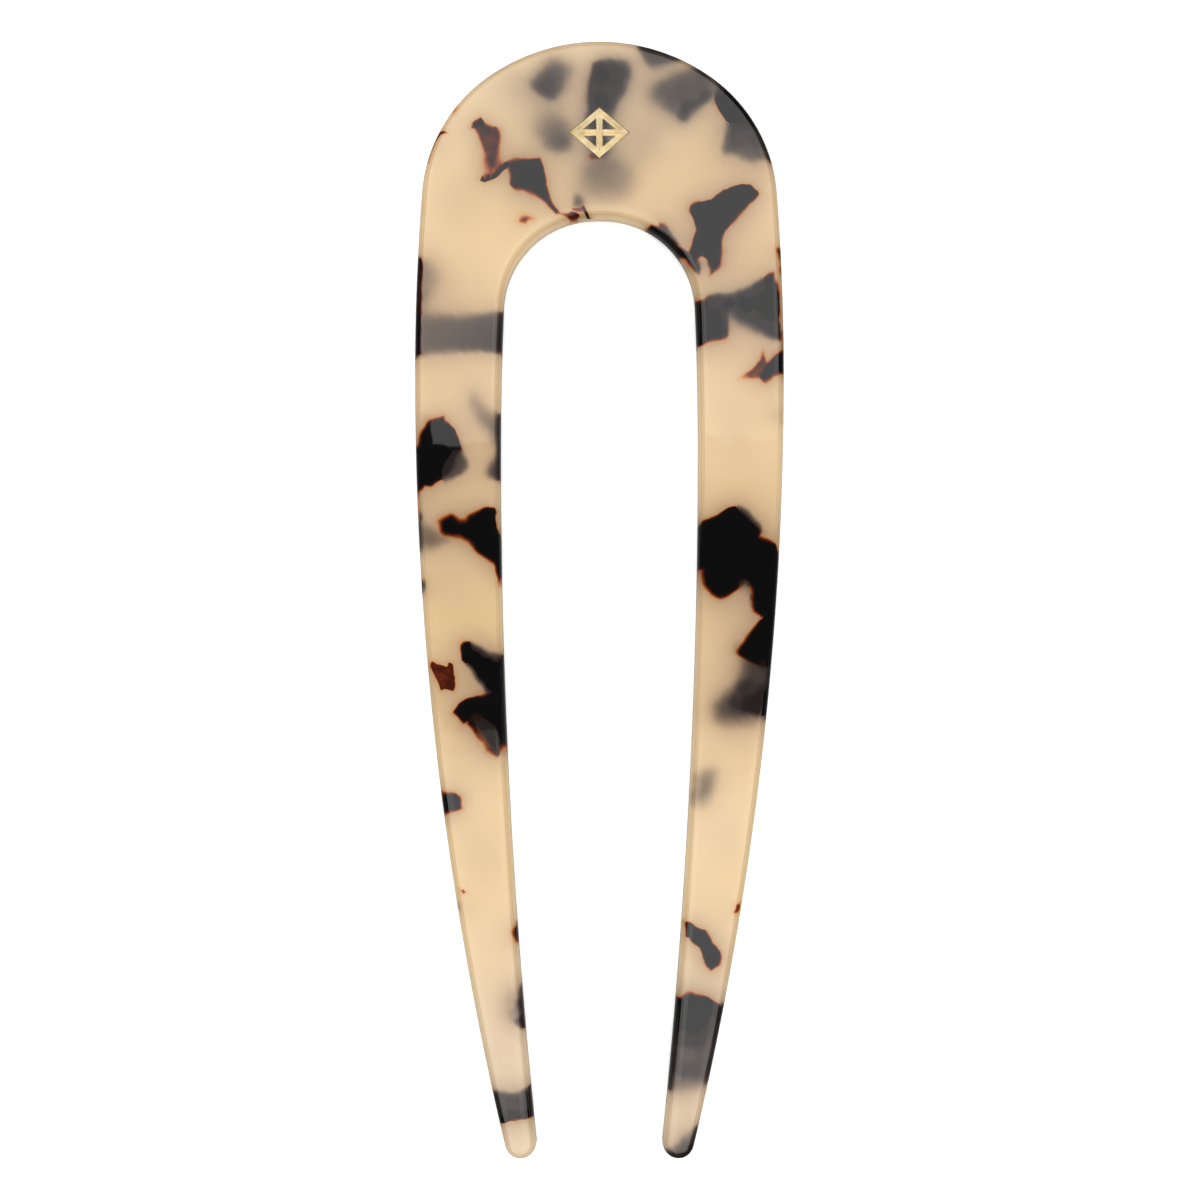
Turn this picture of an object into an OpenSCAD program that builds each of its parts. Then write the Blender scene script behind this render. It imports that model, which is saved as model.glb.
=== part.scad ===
// French hair pin: one flat U-shaped piece of polished acetate sheet, with a domed crown, two prongs
// that taper and lean in to round tips, and a small metal ornament set into the crown.
// The pin lies on its back: Z is up, +Y runs to the crown and -Y to the tips, and the origin is the
// middle of its bounding box, on the surface that it lies on. Millimetres.

/* [Pin] */
// Length from the top of the crown to the tips
pin_l = 140; // [110:1:170]
// Width at the widest place
pin_w = 46.3; // [38:0.1:56]
// Distance from the top of the crown down to the widest place
widest_down = 41.8; // [34:0.1:52]
// Thickness of the sheet
sheet_t = 4; // [3:0.1:6]

/* [Gap between the prongs] */
// Depth of the crown, from its top down to the arch of the gap
crown_d = 22.2; // [18:0.1:28]
// Width of the gap at its widest place
gap_w = 24.8; // [20:0.1:30]
// Distance from the top of the crown down to the gap's widest place
gap_widest_down = 51.2; // [44:0.1:66]

/* [Tips] */
// Radius of each round tip
tip_r = 2; // [1.6:0.05:2.6]
// Distance between the centres of the two tips
tip_spacing = 19.8; // [15:0.1:24]

/* [Curves] */
// Radius of the top of the crown, as a share of half the pin's width
crown_round = 1.05; // [1.03:0.01:1.3]
// Radius of the shoulders between the crown and the sides, as a share of half the pin's width
shoulder_round = 0.84; // [0.3:0.01:0.95]
// Radius of the sides from the shoulders down to the widest place
side_r = 300; // [200:10:600]
// Radius of the top of the gap's arch, as a share of half the gap's width
arch_round = 1.22; // [1.05:0.01:1.6]
// Radius of the haunches of the gap's arch, as a share of half the gap's width
haunch_round = 0.93; // [0.4:0.01:0.98]
// Radius of the gap's sides from the haunches down to its widest place
gap_side_r = 400; // [250:10:800]

/* [Polished edges] */
// Width in plan of the rounding along the outer edge
outer_edge_w = 0.8; // [0.4:0.05:1.3]
// Width in plan of the rounding along the gap
gap_edge_w = 0.75; // [0.4:0.05:1.3]
// Depth of the rounding into the sheet, from each face
edge_d = 1.5; // [0.5:0.1:1.5]

/* [Ornament] */
// Width of the ornament, from side corner to side corner
inlay_w = 7.6; // [5:0.1:11]
// Height of the ornament, from its lower corner to its upper one
inlay_h = 6.4; // [5:0.1:10]
// Width of its rim and of its two bars
inlay_bar = 0.85; // [0.4:0.05:1.2]
// Thickness of its metal
inlay_t = 0.5; // [0.3:0.05:1]
// Height of its face above the face of the pin
inlay_proud = 0.08; // [0.05:0.01:0.3]
// Clearance round it in its recess
inlay_clear = 0.05; // [0.03:0.01:0.15]
// Distance from the top of the crown down to its middle
inlay_down = 11.7; // [9:0.1:14]

/* [Hidden] */

crown_top = pin_l / 2;
widest_y = crown_top - widest_down;
arch_top = crown_top - crown_d;
gap_widest_y = crown_top - gap_widest_down;
tip_centre = [tip_spacing / 2, tip_r - pin_l / 2];
inlay_y = crown_top - inlay_down;

// The rounding stops short of the middle of the sheet, so that a narrow flat wall is left.
rounding_d = min(edge_d, 0.45 * sheet_t);

// Number of straight steps in each stretch of the outer edge and of the gap's edge. The two edges
// have as many in all, because the faces are laid across from one to the other.
crown_steps = 8;
shoulder_steps = 12;
side_steps = 5;
arch_steps = 2;
haunch_steps = 18;
gap_side_steps = 5;
leg_steps = 12;

// Number of straight steps round a tip, which is even, and in the rounding of an edge
tip_steps = 14;
rounding_steps = 4;

// Edge shares: 0 is the outer edge, 1 the edge of the gap, and the tips run from one to the other.
OUTER = 0;
GAP = 1;

function polar(angle) = [cos(angle), sin(angle)];
function direction_of(v) = atan2(v.y, v.x);
function all_but_first(list) = [for (i = [1 : len(list) - 1]) list[i]];
function reversed(list) = [for (i = [len(list) - 1 : -1 : 0]) list[i]];

// An edge point is [place, direction out of the sheet, edge share].
function arc(centre, radius, from, to, steps, facing, share_from, share_to) = [
    for (i = [0 : steps])
        let (t = i / steps, out = polar(from + (to - from) * t))
        [centre + radius * out, facing * out, share_from + (share_to - share_from) * t]
];

// Centre of an arc of radius r that touches two larger circles from inside, above the line that
// joins their centres, where the first circle lies to the right of the second
function arc_centre_in_corner(first, first_r, second, second_r, r) =
    let (
        gap = norm(second - first),
        reach = first_r - r,
        along = (reach ^ 2 - (second_r - r) ^ 2 + gap ^ 2) / (2 * gap),
        across = sqrt(reach ^ 2 - along ^ 2),
        toward = (second - first) / gap
    )
    first + along * toward + across * [toward.y, -toward.x];

// The right half of a bow, from its top on the Y axis down to its widest place: an arc of the top, an
// arc of the corner and a long arc of the side, each tangent to the next
function bow(half_w, top_y, low_y, top_r, corner_r, flank_r, steps, facing, share) =
    let (
        top_centre = [0, top_y - top_r],
        flank_centre = [half_w - flank_r, low_y],
        corner_centre = arc_centre_in_corner(top_centre, top_r, flank_centre, flank_r, corner_r),
        top_end = direction_of(corner_centre - top_centre),
        corner_end = direction_of(corner_centre - flank_centre)
    )
    concat(
        arc(top_centre, top_r, 90, top_end, steps[0], facing, share, share),
        all_but_first(arc(corner_centre, corner_r, top_end, corner_end, steps[1], facing, share, share)),
        all_but_first(arc(flank_centre, flank_r, corner_end, 0, steps[2], facing, share, share))
    );

// Radius of the arc that leaves half_w straight down at low_y and ends tangent to the tip: the tip
// lies inside the arc when touch is 1 and outside it when touch is -1
function leg_radius(half_w, low_y, touch) =
    let (across = half_w - tip_centre.x, down = low_y - tip_centre.y)
    (across ^ 2 + down ^ 2 - tip_r ^ 2) / (2 * (across - touch * tip_r));

// Direction from that arc's centre to where it meets the tip
function leg_end(half_w, low_y, radius) =
    direction_of([1 - (half_w - tip_centre.x) / radius, (tip_centre.y - low_y) / radius]);

function leg(half_w, low_y, touch, steps, facing, share) =
    let (radius = leg_radius(half_w, low_y, touch), end = leg_end(half_w, low_y, radius))
    arc([half_w - radius, low_y], radius, 0, end, steps, facing, share, share);

half_w = pin_w / 2;
gap_half_w = gap_w / 2;
tip_start = leg_end(half_w, widest_y, leg_radius(half_w, widest_y, 1));
tip_end = leg_end(gap_half_w, gap_widest_y, leg_radius(gap_half_w, gap_widest_y, -1)) - 180;

// The right half of the pin's edge, from the top of the crown round the tip to the top of the arch
right_edge = concat(
    bow(half_w, crown_top, widest_y, crown_round * half_w, shoulder_round * half_w, side_r,
        [crown_steps, shoulder_steps, side_steps], 1, OUTER),
    all_but_first(leg(half_w, widest_y, 1, leg_steps, 1, OUTER)),
    all_but_first(arc(tip_centre, tip_r, tip_start, tip_end, tip_steps, 1, OUTER, GAP)),
    all_but_first(reversed(leg(gap_half_w, gap_widest_y, -1, leg_steps, -1, GAP))),
    all_but_first(reversed(
        bow(gap_half_w, arch_top, gap_widest_y, arch_round * gap_half_w, haunch_round * gap_half_w,
            gap_side_r, [arch_steps, haunch_steps, gap_side_steps], -1, GAP)))
);

function mirrored(point) = [[-point[0].x, point[0].y], [-point[1].x, point[1].y], point[2]];

// The whole edge, clockwise from above; the two points on the Y axis are kept once.
whole_edge = concat(
    right_edge,
    [for (i = [len(right_edge) - 2 : -1 : 1]) mirrored(right_edge[i])]
);

function edge_w(share) = outer_edge_w + (gap_edge_w - outer_edge_w) * share;

// The edge at one angle of its rounding: at 0 it is the flat wall, at 90 the border of a face.
function edge_ring(angle, z) = [
    for (point = whole_edge)
        let (place = point[0] - edge_w(point[2]) * (1 - cos(angle)) * point[1])
        [place.x, place.y, z]
];

rounding_angles = [for (i = [0 : rounding_steps]) 90 * i / rounding_steps];
rings = concat(
    [for (a = reversed(rounding_angles)) edge_ring(a, rounding_d * (1 - sin(a)))],
    [for (a = rounding_angles) edge_ring(a, sheet_t - rounding_d * (1 - sin(a)))]
);

// Faces that cover one ring: quads laid across from the outer edge to the gap's edge on each side of
// the Y axis, and a triangle at the end of each tip
function cover(count) =
    let (half = count / 2, tip = half / 2)
    concat(
        [for (i = [0 : tip - 2]) [i, i + 1, half - i - 1, half - i]],
        [for (i = [0 : tip - 2]) [half + i, half + i + 1, count - i - 1, (count - i) % count]],
        [[tip - 1, tip, tip + 1], [half + tip - 1, half + tip, half + tip + 1]]
    );

// The closed solid through rings of equal length, each listed clockwise from above, from the lowest up
module solid_through(rings) {
    count = len(rings[0]);
    last = len(rings) - 1;
    walls = [
        for (level = [0 : last - 1], i = [0 : count - 1])
            let (low = level * count, high = low + count, next = (i + 1) % count)
            [low + i, low + next, high + next, high + i]
    ];
    bottom = [for (face = cover(count)) reversed(face)];
    top = [for (face = cover(count)) [for (i = face) last * count + i]];
    polyhedron(points = [for (ring = rings) each ring], faces = concat(bottom, walls, top));
}

// Half the width and half the height of the ornament's lozenge, with its sides moved out by grow
function lozenge_half(grow) =
    let (half = [inlay_w, inlay_h] / 2, slant = norm(half))
    [half.x + grow * slant / half.y, half.y + grow * slant / half.x];

module lozenge(grow) {
    reach = lozenge_half(grow);
    polygon([[reach.x, 0], [0, reach.y], [-reach.x, 0], [0, -reach.y]]);
}

// One of the four openings of the ornament, a triangle beside the two bars, made smaller by grow
module inlay_window(grow) {
    reach = lozenge_half(-inlay_bar - grow);
    corner = inlay_bar / 2 + grow;
    polygon([
        [corner, corner],
        [reach.x * (1 - corner / reach.y), corner],
        [corner, reach.y * (1 - corner / reach.x)]
    ]);
}

// The ornament's outline, a lozenge with four openings, moved out by grow all round
module inlay_outline(grow) {
    difference() {
        lozenge(grow);
        for (side = [0, 1], end = [0, 1])
            mirror([side, 0]) mirror([0, end]) inlay_window(grow);
    }
}

module inlay_at(z, height, grow) {
    translate([0, inlay_y, z])
        linear_extrude(height) inlay_outline(grow);
}

module pin_body() {
    recess_d = inlay_t - inlay_proud;
    color([0.91, 0.8, 0.64])
        difference() {
            solid_through(rings);
            inlay_at(sheet_t - recess_d, inlay_t, inlay_clear);
        }
}

module gold_inlay() {
    color([0.93, 0.8, 0.48])
        inlay_at(sheet_t - inlay_t + inlay_proud, inlay_t, 0);
}

pin_body();
gold_inlay();
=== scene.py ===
import bmesh
import bpy
import numpy as np
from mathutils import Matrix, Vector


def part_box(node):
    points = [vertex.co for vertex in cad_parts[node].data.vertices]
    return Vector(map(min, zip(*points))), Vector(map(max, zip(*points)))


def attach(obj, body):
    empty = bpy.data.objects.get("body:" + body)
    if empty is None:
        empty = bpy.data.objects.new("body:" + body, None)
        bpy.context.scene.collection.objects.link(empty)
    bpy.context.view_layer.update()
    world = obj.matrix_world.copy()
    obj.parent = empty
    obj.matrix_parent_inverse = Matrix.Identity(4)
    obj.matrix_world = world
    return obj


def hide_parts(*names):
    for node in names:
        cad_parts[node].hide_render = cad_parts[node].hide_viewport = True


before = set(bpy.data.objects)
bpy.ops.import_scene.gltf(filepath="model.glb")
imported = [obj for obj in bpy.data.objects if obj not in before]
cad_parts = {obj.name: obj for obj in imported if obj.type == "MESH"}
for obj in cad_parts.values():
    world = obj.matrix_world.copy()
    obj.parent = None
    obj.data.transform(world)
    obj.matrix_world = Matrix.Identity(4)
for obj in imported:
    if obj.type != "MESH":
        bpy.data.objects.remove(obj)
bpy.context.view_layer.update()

# Pin: one U-shaped piece sawn from blonde tortoiseshell acetate, a milky ivory sheet with black and
# brown flakes set in it at all depths. Its edges are rounded, and it is tumbled to a high gloss. Here
# its section is carried along the U, and the flakes are charted and read at every point.
MM = 0.001
pin_low, pin_high = (np.array(corner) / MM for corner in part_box("pin_body"))
crown_top = pin_high[1]
half_width = pin_high[0]
sheet = pin_high[2]
widest_y = crown_top - 41.8
arch_top = crown_top - 22.2
gap_half_width = 12.4
gap_widest_y = crown_top - 51.2
crown_radius = 1.05 * half_width
shoulder_radius = 0.84 * half_width
side_radius = 300
arch_radius = 1.22 * gap_half_width
haunch_radius = 0.93 * gap_half_width
gap_side_radius = 400
tip_radius = 2.0
tip_centre = np.array([9.9, pin_low[1] + tip_radius])
outer_edge_width = 0.8
gap_edge_width = 0.75
edge_depth = 1.5
wear_width = 0.95
wear_drop = 0.036
arc_points = 401


def arc(centre, radius, start, end, facing, share_start, share_end):
    """Points of an arc: the centre plus the radius times the direction at evenly spaced angles.

    A row holds the place, the direction out of the sheet, and the edge share, which goes evenly from
    one end to the other.
    """
    along = np.linspace(0, 1, arc_points)[:, None]
    angle = np.radians(start + (end - start) * along)
    out = np.hstack([np.cos(angle), np.sin(angle)])
    share = share_start + (share_end - share_start) * along
    return np.hstack([np.asarray(centre) + radius * out, facing * out, share])


def arc_centre_in_corner(first, first_radius, second, second_radius, radius):
    """Centre of an arc that touches two larger circles from inside: it lies at both radii less its own."""
    between = np.linalg.norm(second - first)
    reach = first_radius - radius
    along = (reach**2 - (second_radius - radius) ** 2 + between**2) / (2 * between)
    across = np.sqrt(reach**2 - along**2)
    toward = (second - first) / between
    return first + along * toward + across * np.array([toward[1], -toward[0]])


def bow(half, top_y, low_y, top_radius, corner_radius, flank_radius, facing, share):
    """Half a bow, from its top on the Y axis to its widest place: three arcs, each tangent to the next."""
    top_centre = np.array([0, top_y - top_radius])
    flank_centre = np.array([half - flank_radius, low_y])
    corner = arc_centre_in_corner(top_centre, top_radius, flank_centre, flank_radius, corner_radius)
    top_end = np.degrees(np.arctan2(*(corner - top_centre)[::-1]))
    corner_end = np.degrees(np.arctan2(*(corner - flank_centre)[::-1]))
    return np.vstack([
        arc(top_centre, top_radius, 90, top_end, facing, share, share),
        arc(corner, corner_radius, top_end, corner_end, facing, share, share),
        arc(flank_centre, flank_radius, corner_end, 0, facing, share, share),
    ])


def prong_side(half, low_y, touch, facing, share):
    """The side of a prong: one arc that leaves the widest place straight down and ends tangent to the tip.

    Its radius follows from the right triangle of its centre, the tip's centre and the widest place.
    """
    across = half - tip_centre[0]
    down = low_y - tip_centre[1]
    radius = (across**2 + down**2 - tip_radius**2) / (2 * (across - touch * tip_radius))
    end = np.degrees(np.arctan2((tip_centre[1] - low_y) / radius, 1 - across / radius))
    return arc([half - radius, low_y], radius, 0, end, facing, share, share), end


def spaced_evenly(line, steps):
    """The line's rows at even distances along it, found between the rows on both sides."""
    step = np.hypot(*np.diff(line[:, :2], axis=0).T)
    travel = np.concatenate([[0], np.cumsum(step)])
    wanted = np.linspace(0, travel[-1], steps + 1)
    row = np.stack([np.interp(wanted, travel, column) for column in line.T], 1)
    row[:, 2:4] /= np.linalg.norm(row[:, 2:4], axis=1)[:, None]
    return row


outer_prong, tip_start = prong_side(half_width, widest_y, 1, 1, 0)
gap_prong, tip_end = prong_side(gap_half_width, gap_widest_y, -1, -1, 1)
tip_end -= 180
tip_middle = (tip_start + tip_end) / 2
outer_side = [
    bow(half_width, crown_top, widest_y, crown_radius, shoulder_radius, side_radius, 1, 0),
    outer_prong,
    arc(tip_centre, tip_radius, tip_start, tip_middle, 1, 0, 0.5),
]
gap_side = [
    bow(gap_half_width, arch_top, gap_widest_y, arch_radius, haunch_radius, gap_side_radius, -1, 1),
    gap_prong,
    arc(tip_centre, tip_radius, tip_end, tip_middle, 1, 1, 0.5),
]
stretch_steps = [190, 256, 12]
front_places = 54
back_places = 20
crowding = 0.11


def both_halves(stretches):
    """The side of the right half, joined to its mirror image in the Y axis, from tip to tip."""
    right = [spaced_evenly(line, steps) for line, steps in zip(stretches, stretch_steps)]
    right = np.vstack([right[0]] + [line[1:] for line in right[1:]])
    left = right[:0:-1] * [-1, 1, -1, 1, 1]
    return np.vstack([left, right])


def pin_section():
    """The section, once round: how far across from the outer side to the gap, inset and height.

    The front face runs across, the gap's edge turns down by a quarter of an ellipse, a narrow wall and
    another quarter, the back face runs back, and the outer edge turns up in the same way. The inset is
    one less the cosine of the angle, and the height falls short of the face by one less its sine. A sine
    wave crowds the places on the front face towards its borders.
    """
    angle = np.radians([90, 79, 65, 48, 32, 16, 0])
    inset = 1 - np.cos(angle)
    drop = edge_depth * (1 - np.sin(angle))
    turn_in = np.concatenate([inset[1:], inset[:0:-1]])
    turn_down = np.concatenate([sheet - drop[1:], drop[:0:-1]])
    turn_up = np.concatenate([drop[1:], sheet - drop[:0:-1]])
    even = np.linspace(0.01, 0.99, front_places)
    front = np.concatenate([[0], even - crowding * np.sin(2 * np.pi * even), [1]])
    back = np.concatenate([[1], np.linspace(0.985, 0.015, back_places), [0]])
    across = [front, np.ones_like(turn_in), back, np.zeros_like(turn_in)]
    insets = [np.ones_like(front), turn_in, np.ones_like(back), turn_in]
    heights = [np.full_like(front, sheet), turn_down, np.zeros_like(back), turn_up]
    return np.concatenate(across), np.concatenate(insets), np.concatenate(heights)


def pin_surface():
    """The pin's skin on a grid of stations along the U and places round the section.

    A place is mixed from the outer side and the gap's side by how far across it is, after each side has
    moved in by its edge's width times the inset. Polishing has worn both faces down beside the rounded
    edges: the wear grows with the square of how far the place has come into a narrow border, and then
    goes on straight.
    """
    outer = both_halves(outer_side)[:, None]
    gap = both_halves(gap_side)[:, None]
    across, inset, height = (values[None, :, None] for values in pin_section())
    outer_width = outer_edge_width + (gap_edge_width - outer_edge_width) * outer[..., 4:]
    gap_width = outer_edge_width + (gap_edge_width - outer_edge_width) * gap[..., 4:]
    plan = (outer[..., :2] - outer_width * inset * outer[..., 2:4]) * (1 - across)
    plan = plan + (gap[..., :2] - gap_width * inset * gap[..., 2:4]) * across
    flat = gap[..., :2] - gap_width * gap[..., 2:4] - outer[..., :2] + outer_width * outer[..., 2:4]
    room = np.minimum(across, 1 - across) * np.linalg.norm(flat, axis=-1, keepdims=True)
    room = room - (outer_width + (gap_width - outer_width) * across) * (1 - inset)
    into = np.maximum(1 - room / wear_width, 0)
    wear = wear_drop * np.where(into < 1, into**2, 2 * into - 1)
    return np.concatenate([plan, height - np.where(height > sheet / 2, wear, -wear)], -1)


def mesh_from_grid(name, grid, closed_rows=False):
    """A mesh of quads between neighbours of a grid that closes from its last column to its first.

    With closed_rows it closes from its last row to its first as well.
    """
    rows, columns = grid.shape[:2]
    number = np.arange(rows * columns).reshape(rows, columns)
    number = np.hstack([number, number[:, :1]])
    if closed_rows:
        number = np.vstack([number, number[:1]])
    quads = np.stack([number[:-1, :-1], number[:-1, 1:], number[1:, 1:], number[1:, :-1]], -1)
    mesh = bpy.data.meshes.new(name)
    mesh.from_pydata((grid.reshape(-1, 3) * MM).tolist(), [], quads.reshape(-1, 4).tolist())
    return mesh


def merged(mesh):
    """The mesh with its doubled points merged, so that its poles and seams are closed."""
    double = 1e-7
    sliver = 1e-8
    work = bmesh.new()
    work.from_mesh(mesh)
    bmesh.ops.remove_doubles(work, verts=work.verts, dist=double)
    bmesh.ops.dissolve_degenerate(work, dist=sliver, edges=work.edges)
    bmesh.ops.recalc_face_normals(work, faces=work.faces)
    work.to_mesh(mesh)
    work.free()
    return mesh


def shown(name, mesh, material=None):
    """An object of the mesh in the scene, at the origin, with its material."""
    piece = bpy.data.objects.new(name, mesh)
    bpy.context.scene.collection.objects.link(piece)
    if material:
        mesh.materials.append(material)
    return piece


pin = shown("tortoiseshell_pin", merged(mesh_from_grid("tortoiseshell_pin", pin_surface())))

# Recess for the ornament: routed into the crown along the ornament's own outline, a lozenge with four
# openings, in which the acetate stands up to the face. It is a hair wider than the metal all round.
ornament_y = crown_top - 11.7
ornament_half = np.array([3.8, 3.2])
ornament_bar = 0.85
ornament_low = sheet - 0.42
recess_room = 0.015
cutter_half_height = 0.5


def lozenge_half(grow):
    """Half the width and height of the lozenge when its sides move out by grow."""
    slant = np.hypot(*ornament_half)
    return ornament_half + grow * slant / ornament_half[::-1]


def ornament_outlines(grow):
    """The lozenge and its four openings as closed outlines, moved out of the metal by grow."""
    reach = lozenge_half(grow)
    outlines = [np.array([[reach[0], 0], [0, reach[1]], [-reach[0], 0], [0, -reach[1]]])]
    inner = lozenge_half(-ornament_bar - grow)
    corner = ornament_bar / 2 + grow
    opening = np.array([
        [corner, corner],
        [inner[0] * (1 - corner / inner[1]), corner],
        [corner, inner[1] * (1 - corner / inner[0])],
    ])
    return outlines + [opening * [side, end] for side in (1, -1) for end in (1, -1)]


def recess_cutter():
    """A solid of the grown outlines that reaches from the recess's floor to above the face."""
    outline = bpy.data.curves.new("recess", "CURVE")
    outline.dimensions = "2D"
    outline.fill_mode = "BOTH"
    outline.extrude = cutter_half_height * MM
    for corners in ornament_outlines(recess_room):
        line = outline.splines.new("POLY")
        line.points.add(len(corners) - 1)
        spots = np.column_stack([(corners + [0, ornament_y]) * MM, np.tile([0, 1], (len(corners), 1))])
        line.points.foreach_set("co", spots.astype(np.float32).ravel())
        line.use_cyclic_u = True
    source = shown("recess", outline)
    bpy.context.view_layer.update()
    mesh = bpy.data.meshes.new_from_object(source.evaluated_get(bpy.context.evaluated_depsgraph_get()))
    bpy.data.objects.remove(source)
    places = np.empty(len(mesh.vertices) * 3, np.float32)
    mesh.vertices.foreach_get("co", places)
    raised = places.reshape(-1, 3).astype(float) + [0, 0, (ornament_low + cutter_half_height) * MM]
    mesh.vertices.foreach_set("co", raised.astype(np.float32).ravel())
    return shown("recess", merged(mesh))


def cut_or_join(piece, operation, tool):
    """Cuts the piece by the tool, or joins the tool to it, as an exact boolean, and takes the tool away."""
    step = piece.modifiers.new(tool.name, "BOOLEAN")
    step.operation = operation
    step.solver = "EXACT"
    step.object = tool
    bpy.context.view_layer.update()
    mesh = bpy.data.meshes.new_from_object(piece.evaluated_get(bpy.context.evaluated_depsgraph_get()))
    piece.modifiers.clear()
    piece.data = mesh
    bpy.data.objects.remove(tool)


cut_or_join(pin, "DIFFERENCE", recess_cutter())


# Flakes: black and brown chips of acetate that were strewn into the milky sheet before it was pressed.
# Each is charted as an outline in mm on the front face, with its depth, its dye and its thin border.
def flake(corners, depth=-0.2, dip=(0, 0), lean=(0, 0), low=-0.2, stain=1.0, rim=0.4, blur=1.0, sink=()):
    """A flake: corners in mm on the front face, and how it lies in the sheet.

    depth is how far its top lies below the face, less than 0 where it reaches the face, and dip how
    much deeper that is for each mm along x and y. sink gives x, y and the depth at some places instead.
    lean is how far its outline moves along x and y for each mm of depth, low the height of its underside,
    stain how dense it is, where 1 is black and 0.6 brown, rim how far in from its outline it is thin
    enough to let brown light through, and blur how milky the acetate over it is. Where stain is less
    than brown_stain, the whole flake is thin.
    """
    outline = np.array(corners, float)
    return {
        "outline": outline, "middle": (outline.min(0) + outline.max(0)) / 2, "depth": depth,
        "dip": np.array(dip, float), "lean": np.array(lean, float), "low": low, "stain": stain,
        "rim": rim, "blur": blur, "sink": np.array(sink, float).reshape(-1, 3),
    }


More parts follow.
